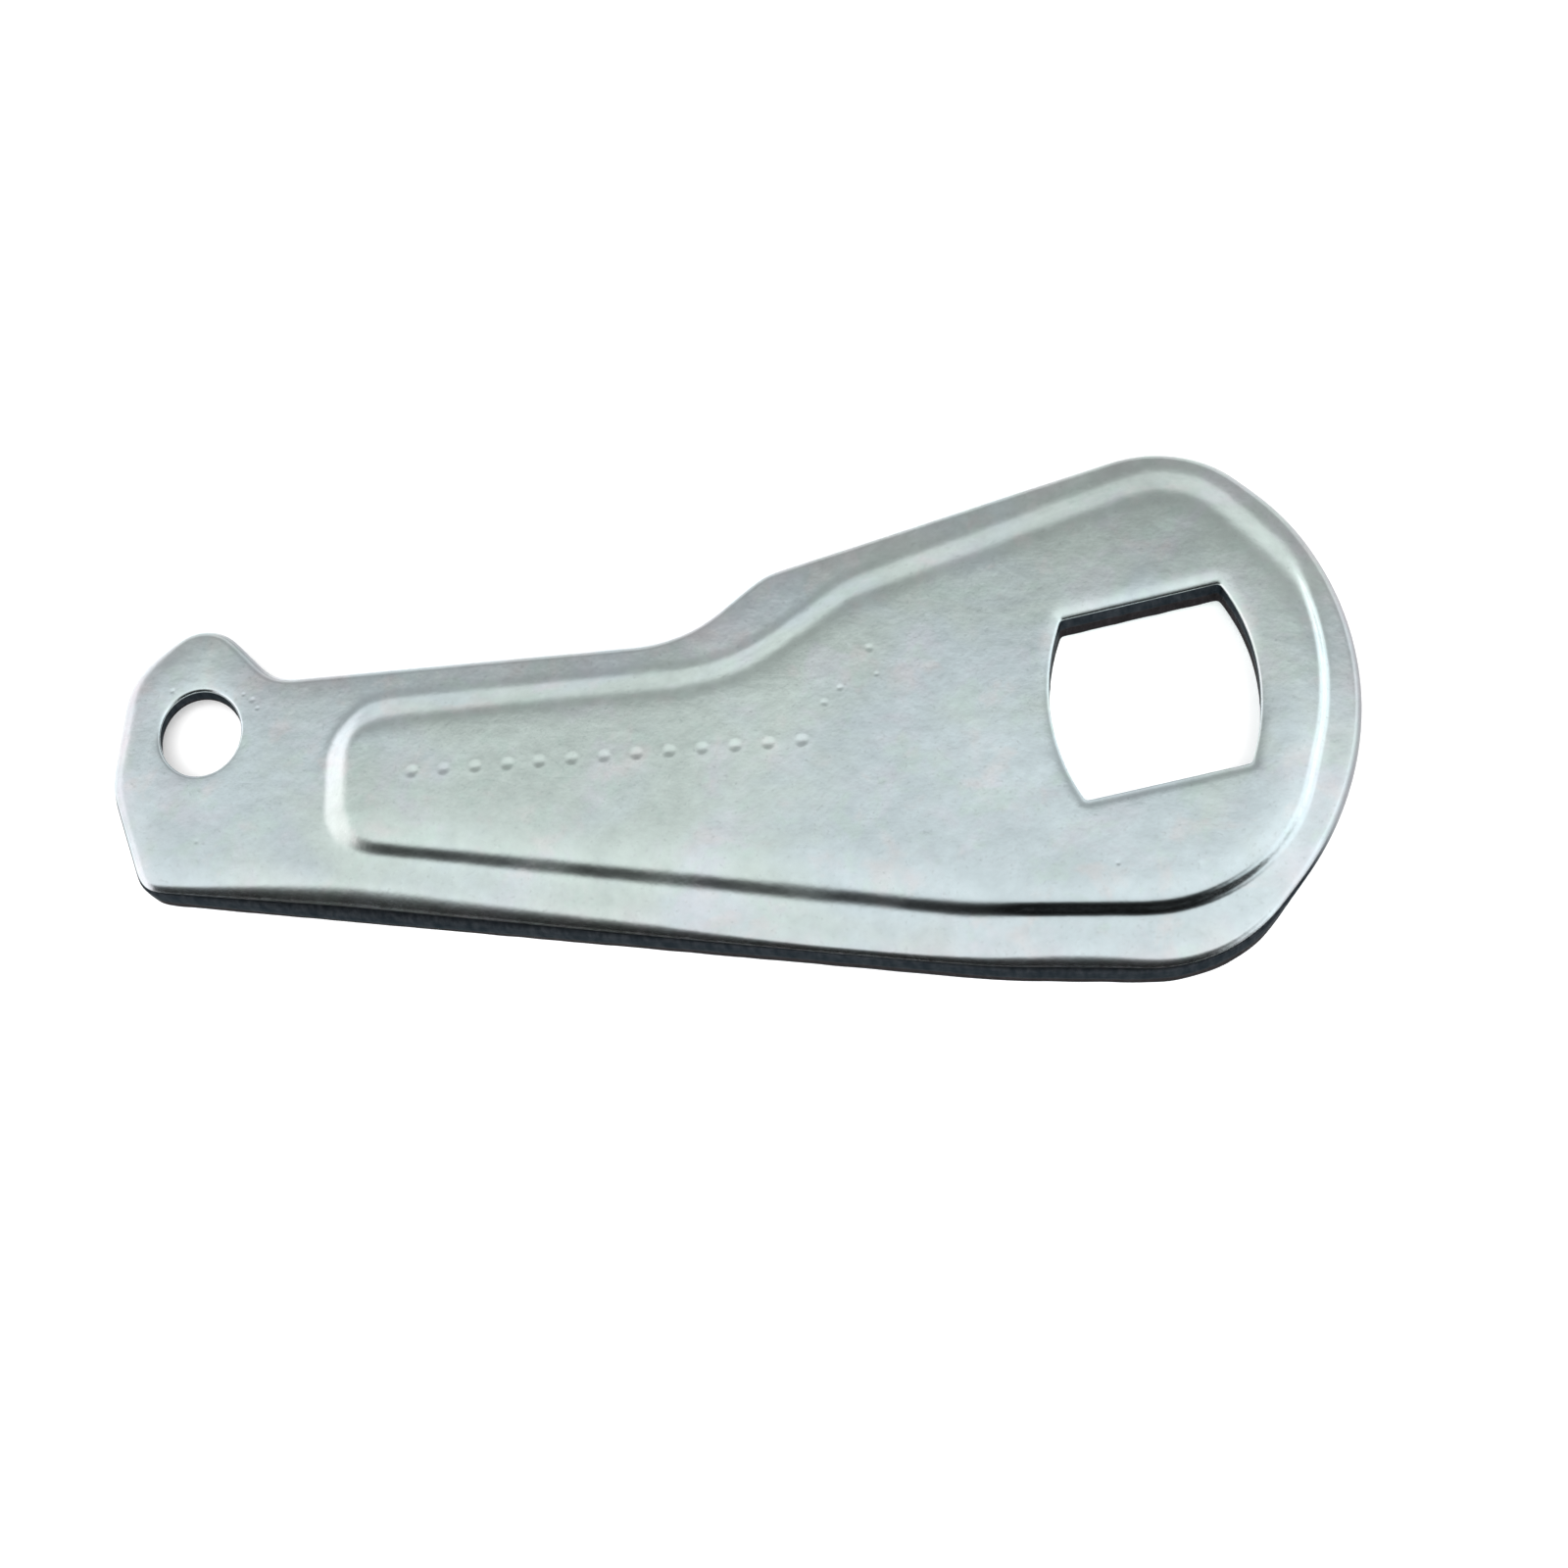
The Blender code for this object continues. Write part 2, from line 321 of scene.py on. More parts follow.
def wall_profile(core, core_run, crown, crown_run, foot, foot_run):
    """Height over WALL_S of one pressed wall, rising 0 to 1, from the sum of its slopes."""
    u = WALL_S - 0.8
    slope = core * np.exp(-(np.abs(u) / core_run) ** 2.4)
    crown_slope = crown * np.exp(-(u / crown_run) ** 2)
    foot_slope = foot * np.exp(-(u / foot_run) ** 2) + (crown - foot) * np.exp(-(u / 0.5) ** 2)
    slope += np.where(u > 0, crown_slope, foot_slope)
    steps = (slope[1:] + slope[:-1]) / 2 * np.diff(WALL_S)
    z = np.concatenate([[0], np.cumsum(steps)])
    return z / z[-1]


# Columns: slope and run of the core, the crown and the foot
WALL_END = wall_profile(0.25, 1.95, 0.15, 3.6, 0.15, 2.0)      # towards the handle's end
WALL_FAR = wall_profile(0.27, 2.45, 0.20, 3.8, 0.20, 1.7)      # +Y side
WALL_SIDE = wall_profile(0.66, 0.62, 0.17, 3.2, 0.17, 1.7)     # +X side of the head
WALL_LOW = wall_profile(0.33, 1.15, 0.20, 4.0, 0.20, 3.0)      # handle's front
WALL_STEEP = wall_profile(0.88, 0.66, 0.15, 3.0, 0.15, 1.7)    # head's front

wave_long = wave_field(seed=11, wavelength=34.0)
wave_mid = wave_field(seed=12, wavelength=9.0)
wave_wall = wave_field(seed=13, wavelength=13.0)
wave_burr = wave_field(seed=21, wavelength=5.0)
wave_tear = wave_field(seed=22, wavelength=4.0)
edge_slow = wave_field(seed=31, wavelength=7.0)
edge_mid = wave_field(seed=32, wavelength=1.5)
edge_fine = wave_field(seed=33, wavelength=0.9)


def wall_height(pts):
    """Height of the pressed wall and panel, blended from the five wall profiles."""
    x, y = pts.T
    depth, near = PAN.depth(pts)
    nx, ny = PAN.normals[near].T
    end = smoothstep(0.30, 0.80, -nx) * (x < 0)
    far = smoothstep(0.15, 0.60, ny) * (1 - end)
    handle = 1.0 - smoothstep(17.0, 46.0, x + 4.0 * wave_wall(x, y))
    low = np.clip(handle * 0.90 + 0.10 * wave_wall(y, x), 0, 1) * (1 - end) * (1 - far)
    side = smoothstep(0.38, 0.84, nx) * (1 - end - far - low - 0)
    steep = 1 - end - far - low - side
    shares = [(end, WALL_END), (far, WALL_FAR), (side, WALL_SIDE), (low, WALL_LOW),
              (steep, WALL_STEEP)]
    return PANEL_RISE * sum(share * np.interp(depth, WALL_S, wall) for share, wall in shares)


def top_height(pts):
    x, y = pts.T
    z = np.full(len(pts), PLATE_T)
    # the rim falls away towards the edge, then rolls over it
    gap, _, near = OUT.distance(pts)
    z -= DISH_DROP * fall(gap, DISH_RUN, 2.4)
    z -= DIP[near] * fall(gap, DIP_RUN, 2.4)
    z -= DROP[near] * rolled(gap, RUN[near], POWER[near])
    z += wall_height(pts)
    # the edges of the holes are drawn down, most on the +Y side of the drive hole
    gap, _, near = DRIVE.distance(pts)
    z -= DRIVE_ROLL_DROP * rolled(gap, DRIVE_ROLL_RUN)
    z -= (0.10 + 0.12 * smoothstep(0.0, 0.7, DRIVE.normals[near, 1])) * fall(gap, 2.8, 2)
    gap, _, _ = LANYARD.distance(pts)
    z -= LANYARD_ROLL_DROP * rolled(gap, LANYARD_ROLL_RUN)
    z -= 0.10 * fall(gap, 2.4, 2)
    # press marks: a long lazy wave and a finer one
    z += 0.020 * (wave_long(x, y) - 1.2) + 0.0035 * wave_mid(x, y)
    for centre_x, centre_y in DIMPLES:
        t = np.hypot(x - centre_x, y - centre_y) / DIMPLE_R
        z -= DIMPLE_DEEP * fall(t ** 2, 1.0, 1.5)
        z += DIMPLE_LIP * np.exp(-((t - 1.22) / 0.20) ** 2)
    for centre_x, centre_y, radius, deep in DENTS:
        t = np.hypot(x - centre_x, y - centre_y) / radius
        z -= deep * fall(t ** 2, 1.0, 2)
    return z


def bottom_height(pts):
    """The underside follows the panel, set in by a little."""
    x, y = pts.T
    depth, near = PAN.depth(pts)
    z = underside_wall(depth - 0.9, x, y, near)
    z += 0.010 * (wave_long(y, x) + 1.6) * smoothstep(0.0, 3.0, np.abs(depth))
    return np.maximum(z, 0.0)


def panel_wall(depth, x, y, near):
    """Height of the pressed wall and panel, blended from the five wall profiles."""
    nx, ny = PAN.normals[near].T
    end = smoothstep(0.30, 0.80, -nx) * (x < 0)
    far = smoothstep(0.15, 0.60, ny) * (1 - end)
    handle = 1.0 - smoothstep(17.0, 46.0, x + 4.0 * wave_wall(x, y))
    low = np.clip(handle * 0.90 + 0.10 * wave_wall(y, x), 0, 1) * (1 - end) * (1 - far)
    side = smoothstep(0.38, 0.84, nx) * (1 - end - far - low)
    steep = 1 - end - far - low - side
    shares = [(end, WALL_END), (far, WALL_FAR), (side, WALL_SIDE), (low, WALL_LOW),
              (steep, WALL_STEEP)]
    return PANEL_RISE * sum(share * np.interp(depth, WALL_S, wall) for share, wall in shares)


def wall_height(pts):
    depth, near = PAN.depth(pts)
    return panel_wall(depth, *pts.T, near)


underside_wall = panel_wall


# ======================================================================================
#  Mesh assembly from rings, bands and filled fields
# ======================================================================================
PLATED, BURNISHED, TORN = 0.0, 1.0, 2.0
TORN_FROM = 5                 # bands of a shear wall above the torn ones
verts, faces, face_shear = [], [], []
rng = np.random.default_rng(5)


def ring(points, z):
    """Adds vertices and returns their indices."""
    first = len(verts)
    z = np.broadcast_to(np.asarray(z, float), (len(points),))
    verts.extend((float(px), float(py), float(pz)) for (px, py), pz in zip(points, z))
    return list(range(first, len(verts)))


def rings_at(loop, offsets, height):
    """Rings outward from a loop by each offset, laid on a height function."""
    return [ring(loop.grown(by), height(loop.grown(by))) for by in offsets]


def plan(indices):
    return np.array([verts[k][:2] for k in indices])


def heights(indices):
    return np.array([verts[k][2] for k in indices])


def bands(rings, reverse=False, sheared=False):
    """Quads between neighbouring rings; a sheared wall is burnished, then torn."""
    for k, (a, b) in enumerate(zip(rings, rings[1:])):
        if reverse:
            a, b = b, a
        shear = PLATED
        if sheared:
            shear = BURNISHED if k < TORN_FROM else TORN
        for i in range(len(a)):
            j = (i + 1) % len(a)
            faces.append((a[i], a[j], b[j], b[i]))
            face_shear.append(shear)


def near_marks(pts, marks, reach):
    result = np.zeros(len(pts), bool)
    for lo in range(0, len(pts), 4000):
        chunk = pts[lo:lo + 4000]
        result[lo:lo + 4000] = ((chunk[:, None, :] - marks) ** 2).sum(2).min(1) < reach ** 2
    return result


def scatter(outer, holes, spacing, extra):
    """Jittered triangular grid inside the outer ring, clear of the holes."""
    boundary = Loop(plan(outer))
    lo, hi = boundary.points.min(0), boundary.points.max(0)
    rows = []
    for row, y in enumerate(np.arange(lo[1], hi[1], spacing * 0.866)):
        xs = np.arange(lo[0] + (row % 2) * spacing / 2, hi[0], spacing)
        rows.append(np.stack([xs, np.full_like(xs, y)], 1))
    pts = np.vstack(rows)
    pts = pts + rng.uniform(-0.12, 0.12, pts.shape) * spacing
    clear = spacing * 0.55
    if extra:
        marks = np.array(extra)
        pts = np.vstack([pts[~near_marks(pts, marks, clear)], marks])
    keep = boundary.contains(pts) & (boundary.distance(pts)[0] > clear)
    for hole in holes:
        loop = Loop(plan(hole))
        keep &= ~loop.contains(pts) & (loop.distance(pts)[0] > clear)
    return pts[keep]


def field(outer, holes, height, spacing, extra=(), up=True):
    """Fills the region between an outer ring and hole rings with an even triangle mesh."""
    loops = [outer] + holes
    edges, fence, first = [], set(), 0
    for loop in loops:
        count = len(loop)
        edges += [(first + i, first + (i + 1) % count) for i in range(count)]
        fence |= {frozenset((loop[i], loop[(i + 1) % count])) for i in range(count)}
        first += count
    border = [k for loop in loops for k in loop]
    pts = scatter(outer, holes, spacing, extra)
    everyone = border + ring(pts, height(pts))
    coords = [Vector((float(x), float(y))) for x, y in np.vstack([plan(border), pts])]
    _, _, found, _, sources, _ = _unpack_cdt(delaunay_2d_cdt(coords, edges, [], 0, 1e-5, True))
    table = [everyone[source[0]] if source else None for source in sources]
    if None in table or len(set(table)) != len(everyone):
        raise ValueError("rings cross or touch")

    # keep the triangles that lie an odd number of ring crossings from outside
    tris = [tuple(table[k] for k in tri) for tri in found]
    by_edge = {}
    for n, tri in enumerate(tris):
        for i in range(3):
            by_edge.setdefault(frozenset((tri[i], tri[(i + 1) % 3])), []).append(n)
    depth = [None] * len(tris)
    todo = []
    for edge, owners in by_edge.items():
        if len(owners) == 1 and depth[owners[0]] is None:
            depth[owners[0]] = int(edge in fence)
            todo.append(owners[0])
    while todo:
        n = todo.pop()
        for i in range(3):
            edge = frozenset((tris[n][i], tris[n][(i + 1) % 3]))
            for other in by_edge[edge]:
                if depth[other] is None:
                    depth[other] = depth[n] ^ int(edge in fence)
                    todo.append(other)
    for tri, crossings in zip(tris, depth):
        if crossings == 1:
            faces.append(tri if up else tri[::-1])
            face_shear.append(PLATED)


def _unpack_cdt(result):
    """Vertices, edges, faces, then the sources of edges, vertices and faces."""
    points, edges, found, from_points, from_edges, from_faces = result
    return points, edges, found, from_edges, from_points, from_faces


def disc_points(centre_x, centre_y, radius, rings, reach):
    """Concentric points that give a dimple or dent enough vertices."""
    pts = [(centre_x, centre_y)]
    for k in range(1, rings + 1):
        r = radius * reach * k / rings
        count = max(8, int(2 * math.pi * r / (radius * reach / rings)))
        angles = [2 * math.pi * (i + 0.5 * (k % 2)) / count for i in range(count)]
        pts += [(centre_x + r * math.cos(a), centre_y + r * math.sin(a)) for a in angles]
    return pts


# ---- upper skin ----------------------------------------------------------------------
# shares of the roll's run, and offsets outward from the panel and the two holes
ROLL_SHARES = (0.0, 0.010, 0.035, 0.075, 0.13, 0.20, 0.285, 0.385, 0.50, 0.63, 0.78, 0.95, 1.15)
PANEL_OFFSETS = (1.2, 0.7, 0.35, 0.05, -0.2, -0.4, -0.6, -0.8, -1.0, -1.2, -1.4, -1.65, -1.95,
                 -2.3, -2.75, -3.3, -4.0, -4.9)
DRIVE_OFFSETS = (0.0, 0.02, 0.06, 0.13, 0.23, 0.37, 0.56, 0.80, 1.10, 1.50, 2.0)
LANYARD_OFFSETS = (0.0, 0.02, 0.06, 0.13, 0.22, 0.34, 0.50, 0.72, 1.05)


def upper_skin():
    """Returns the rings of the rolled edge and the rims of the two holes."""
    edge_z = PLATE_T - DISH_DROP - DIP - DROP - 0.02 + 0.015 * wave_long(OUT.x, OUT.y)
    edge_z = np.minimum(edge_z, top_height(OUT.grown(-0.02)) - 0.01)
    roll = [ring(OUT.points, edge_z)]
    roll += rings_at(OUT, [-RUN * share for share in ROLL_SHARES[1:]], top_height)
    bands(roll)
    panel = rings_at(PAN, PANEL_OFFSETS, top_height)
    bands(panel)
    drive = rings_at(DRIVE, DRIVE_OFFSETS, top_height)
    bands(drive, reverse=True)
    lanyard = rings_at(LANYARD, LANYARD_OFFSETS, top_height)
    bands(lanyard, reverse=True)

    detail = []
    for x, y in DIMPLES:
        detail += disc_points(x, y, DIMPLE_R, rings=6, reach=1.55)
    for x, y, radius, _ in DENTS:
        detail += disc_points(x, y, radius, rings=4, reach=1.3)
    field(roll[-1], [panel[0], lanyard[-1]], top_height, spacing=0.85, extra=detail)
    field(panel[-1], [drive[-1]], top_height, spacing=1.0, extra=detail)
    return roll, drive[0], lanyard[0]


# ---- underside -----------------------------------------------------------------------
UNDER_INSET = 0.16            # the foot of the shear lies this far inside the outline
UNDER_PANEL_OFFSETS = (1.0, 0.3, -0.2, -0.6, -0.9, -1.2, -1.5, -1.8, -2.1, -2.5, -3.0, -3.6,
                       -4.4, -5.4)
UNDER_SPACING = 1.5


def underside():
    """Returns the rings at the foot of the outer wall and of the two holes."""
    burr = 0.10 + 0.05 * wave_burr(OUT.x, OUT.y).clip(-1.5, 1.5)
    outer = [ring(OUT.grown(-(inset + UNDER_INSET + TAPER)), z)
             for inset, z in ((0.0, burr), (0.12, 0.03), (0.35, 0.0), (0.8, 0.0))]
    bands(outer, reverse=True)
    panel = rings_at(PAN, UNDER_PANEL_OFFSETS, bottom_height)
    bands(panel, reverse=True)
    tear = 0.12 + 0.04 * wave_tear(DRIVE.x, DRIVE.y).clip(-1.5, 1.5)
    drive = [ring(DRIVE.grown(by), bottom_height(DRIVE.grown(by)) + lift)
             for by, lift in ((0.16, tear), (0.30, 0.02), (0.60, 0.0), (1.0, 0.0))]
    bands(drive)
    lanyard = [ring(LANYARD.grown(LANYARD_RELIEF + by) + LANYARD_SLIP, z)
               for by, z in ((0.0, 0.05), (0.12, 0.0), (0.6, 0.0))]
    bands(lanyard)
    field(outer[-1], [panel[0], lanyard[-1]], bottom_height, UNDER_SPACING, up=False)
    field(panel[-1], [drive[-1]], bottom_height, UNDER_SPACING, up=False)
    return outer[0], drive[0], lanyard[0]


# ---- sheared walls: rings at shares of the way from the top edge to the foot ----------
OUTER_LEVELS = (0.12, 0.26, 0.40, 0.50, 0.56, 0.62, 0.70, 0.80, 0.90)
DRIVE_LEVELS = (0.08, 0.2, 0.34, 0.46, 0.53, 0.60, 0.70, 0.82, 0.93)
LAND_LEVELS = (0.15, 0.35, 0.55, 0.72, 0.86, 0.95)
CONE_LEVELS = (0.25, 0.5, 0.75)
DRIVE_TEAR = 0.12             # how far the torn band opens the drive hole


def torn(loop, shift):
    """Ragged noise round a loop; each shift gives another pattern."""
    x, y = loop.x, loop.y
    ragged = 0.5 * edge_slow(x, y) + 0.35 * edge_mid(x + 3.1 * shift, y)
    return ragged + 0.25 * edge_fine(x, y - 1.7 * shift)


def outer_wall(top, foot):
    z_top, z_foot = heights(top), heights(foot)
    split = 0.52 + 0.05 * torn(OUT, 0)
    wall = [top]
    for k, t in enumerate(OUTER_LEVELS):
        tearing = smoothstep(split - 0.12, split + 0.16, t)
        inset = 0.008 * edge_mid(OUT.x, OUT.y) * (1 - tearing)
        inset = inset + tearing * (0.06 + 0.020 * torn(OUT, k) + 0.05 * t)
        wall.append(ring(OUT.grown(-(np.clip(inset, 0, 0.3) + TAPER * t)),
                         z_top + (z_foot - z_top) * t))
    bands(wall + [foot], reverse=True, sheared=True)


def drive_wall(top, foot):
    z_top, z_foot = heights(top), heights(foot)
    split = 0.50 + 0.05 * torn(DRIVE, 2)
    wall = [top]
    for k, t in enumerate(DRIVE_LEVELS):
        tearing = smoothstep(split - 0.03, split + 0.05, t)
        grow = tearing * (DRIVE_TEAR * (0.5 + 0.6 * t) + 0.03 * torn(DRIVE, k + 9))
        wall.append(ring(DRIVE.grown(np.clip(grow, 0, DRIVE_TEAR * 1.6)),
                         z_top + (z_foot - z_top) * t))
    bands(wall + [foot], sheared=True)


def lanyard_wall(top, foot):
    """Straight land, then the relief cone down to the underside."""
    slip = np.array(LANYARD_SLIP)
    z_top, z_land = heights(top), PLATE_T - LANYARD_LAND
    cone_grow, cone_z, foot_z = 0.16, z_land - 0.10, 0.05
    wall = [top]
    for t in LAND_LEVELS:
        grow = 0.02 * smoothstep(0.5, 0.7, t) * (1 + torn(LANYARD, 4))
        wall.append(ring(LANYARD.grown(np.clip(grow, 0, 0.08)) + slip * t,
                         z_top + (z_land - z_top) * t))
    wall.append(ring(LANYARD.grown(0.05) + slip, z_land))
    wall.append(ring(LANYARD.grown(cone_grow) + slip, cone_z))
    for t in CONE_LEVELS:
        wall.append(ring(LANYARD.grown(cone_grow + (LANYARD_RELIEF - cone_grow) * t) + slip,
                         cone_z * (1 - t) + foot_z * t))
    bands(wall + [foot], sheared=True)


roll_rings, drive_top, lanyard_top = upper_skin()
outer_foot, drive_foot, lanyard_foot = underside()
outer_wall(roll_rings[0], outer_foot)
drive_wall(drive_top, drive_foot)
lanyard_wall(lanyard_top, lanyard_foot)


# ======================================================================================
#  Plate object and its point attributes
# ======================================================================================
def shear_values():
    """0 plated, 1 burnished, 2 torn; along the front the dark shear colour, a painted shade,
    climbs onto the roll.
    """
    total, count = np.zeros(len(verts)), np.zeros(len(verts))
    for face, value in zip(faces, face_shear):
        for k in face:
            total[k] += value
            count[k] += 1
    shear = total / np.maximum(count, 1)
    for share, indices in zip(ROLL_SHARES, roll_rings):
        # painted shade: the dark shear colour climbs onto the front roll
        climb = (1 - smoothstep(0.20, 0.36, share)) * FRONTNESS
        shear[indices] = np.maximum(shear[indices], climb)
    return shear


def roll_shade_values():
    """Painted shade: the outermost part of the roll darkened on the +Y and +X sides."""
    roll_shade = np.zeros(len(verts))
    nx, ny = OUT.normals.T
    back = smoothstep(-0.10, 0.45, ny + np.where(nx > 0, 0.80, 0.35) * nx)
    back = back * smoothstep(-0.75, -0.30, nx) * (0.55 + 0.45 * smoothstep(0.15, 0.65, nx))
    for share, indices in zip(ROLL_SHARES, roll_rings):
        roll_shade[indices] = back * (1 - smoothstep(0.15, 0.72, share))
    return roll_shade


def cool_values(x, y, panel_depth):
    """Where the passivation is bluer (towards 1) or greener (towards 0)."""
    panel = smoothstep(-1.0, 4.0, panel_depth) * (1 - smoothstep(-5.0, 30.0, x))
    handle_end = 1 - smoothstep(-88.0, -66.0, x)
    head_front = smoothstep(-5.0, 35.0, x) * (1 - smoothstep(-14.0, 14.0, y))
    head_back = smoothstep(10.0, 40.0, x) * smoothstep(22.0, 44.0, y)
    head_side = smoothstep(66.0, 80.0, x)
    return (0.5 - 0.28 * panel + 0.20 * handle_end + 0.36 * head_front - 0.30 * head_back
            + 0.25 * head_side)


def tone_values(x, y, edge_gap):
    """Brightness of the metal's colour, in broad patches, darker on the edge round the handle's
    end.
    """
    tone = np.ones(len(verts))
    for centre_x, centre_y, spread, strength in TONES:
        squared = (x - centre_x) ** 2 + (y - centre_y) ** 2
        tone += strength * np.exp(-squared / (2 * spread * spread))
    round_end = (1 - smoothstep(-105.0, -97.0, x)) * (1 - smoothstep(16.0, 26.0, y))
    return tone - 0.27 * np.exp(-(edge_gap / 2.0) ** 2) * round_end


def plate_attributes():
    flat = np.array(verts)[:, :2]
    x, y = flat.T
    edge_gap = OUT.distance(flat)[0]
    panel_depth, near = PAN.depth(flat)
    # painted shade along the drawn wall at the head's front; the same mask makes it a little
    # smoother
    wall_shade_and_polish = np.exp(-((panel_depth - 0.8) / 1.0) ** 2)
    wall_shade_and_polish = wall_shade_and_polish * smoothstep(0.45, 0.95, -PAN.normals[near, 1]) * smoothstep(16.0, 40.0, x)
    return {
        "shear": shear_values(),
        "roll_shade": roll_shade_values(),
        "rim": np.exp(-edge_gap / 3.2),
        "wall_shade_and_polish": wall_shade_and_polish,
        "cool": cool_values(x, y, panel_depth),
        "tone": tone_values(x, y, edge_gap),
    }


def build_plate():
    places = (np.array(verts) - np.array([*ORIGIN, 0.0])) * MM
    mesh = bpy.data.meshes.new("pressed_plate")
    mesh.from_pydata([tuple(place) for place in places], [], faces)
    mesh.validate()
    obj = bpy.data.objects.new("pressed_plate", mesh)
    bpy.context.scene.collection.objects.link(obj)
    for name, values in plate_attributes().items():
        attribute = mesh.attributes.new(name, "FLOAT", "POINT")
        attribute.data.foreach_set("value", np.asarray(values, np.float32))
    mesh.shade_smooth()
    mesh.set_sharp_from_angle(angle=math.radians(50))
    mesh.update()
    return obj


# ======================================================================================
#  Materials
# ======================================================================================
class Nodes:
    """Writes a node tree in few lines. Ramps are grey and colours are RGB."""

    def __init__(self, tree):
        self.tree = tree
        tree.nodes.clear()

    def node(self, kind, **settings):
        node = self.tree.nodes.new(kind)
        for name, value in settings.items():
            setattr(node, name, value)
        return node

    def feed(self, socket, value):
        """Links an output, or sets a number or colour."""
        if isinstance(value, tuple):
            socket.default_value = (*value, 1.0)
        elif isinstance(value, (int, float)):
            socket.default_value = value
        else:
            self.tree.links.new(value, socket)

    def math(self, operation, *values):
        node = self.node("ShaderNodeMath", operation=operation)
        for socket, value in zip(node.inputs, values):
            self.feed(socket, value)
        return node.outputs[0]

    def vary(self, noise, gain, around):
        """The noise, centred on zero, times a gain, added to a value."""
        return self.math("MULTIPLY_ADD", self.math("SUBTRACT", noise, 0.5), gain, around)

    def ramp(self, factor, stops, mode="EASE"):
        node = self.node("ShaderNodeValToRGB")
        node.color_ramp.interpolation = mode
        elements = node.color_ramp.elements
        while len(elements) > 1:
            elements.remove(elements[-1])
        elements[0].position = stops[0][0]
        elements[0].color = (*[stops[0][1]] * 3, 1.0)
        for position, grey in stops[1:]:
            elements.new(position).color = (grey, grey, grey, 1.0)
        self.feed(node.inputs[0], factor)
        return node.outputs[0]

    def mix(self, factor, a, b, mode="MIX"):
        node = self.node("ShaderNodeMix", data_type="RGBA", blend_type=mode)
        for index, value in ((0, factor), (6, a), (7, b)):
            self.feed(node.inputs[index], value)
        return node.outputs[2]

    def mapping(self, vector, scale, turn=None):
        node = self.node("ShaderNodeMapping")
        node.inputs["Scale"].default_value = scale
        if turn is not None:
            node.inputs["Rotation"].default_value = (0, 0, math.radians(turn))
        self.feed(node.inputs[0], vector)
        return node.outputs[0]

    def noise(self, vector, scale, detail=3.0, roughness=0.5, distortion=0.0):
        node = self.node("ShaderNodeTexNoise")
        node.inputs["Scale"].default_value = scale
        node.inputs["Detail"].default_value = detail
        node.inputs["Roughness"].default_value = roughness
        node.inputs["Distortion"].default_value = distortion
        self.feed(node.inputs["Vector"], vector)
        return node.outputs["Fac"]


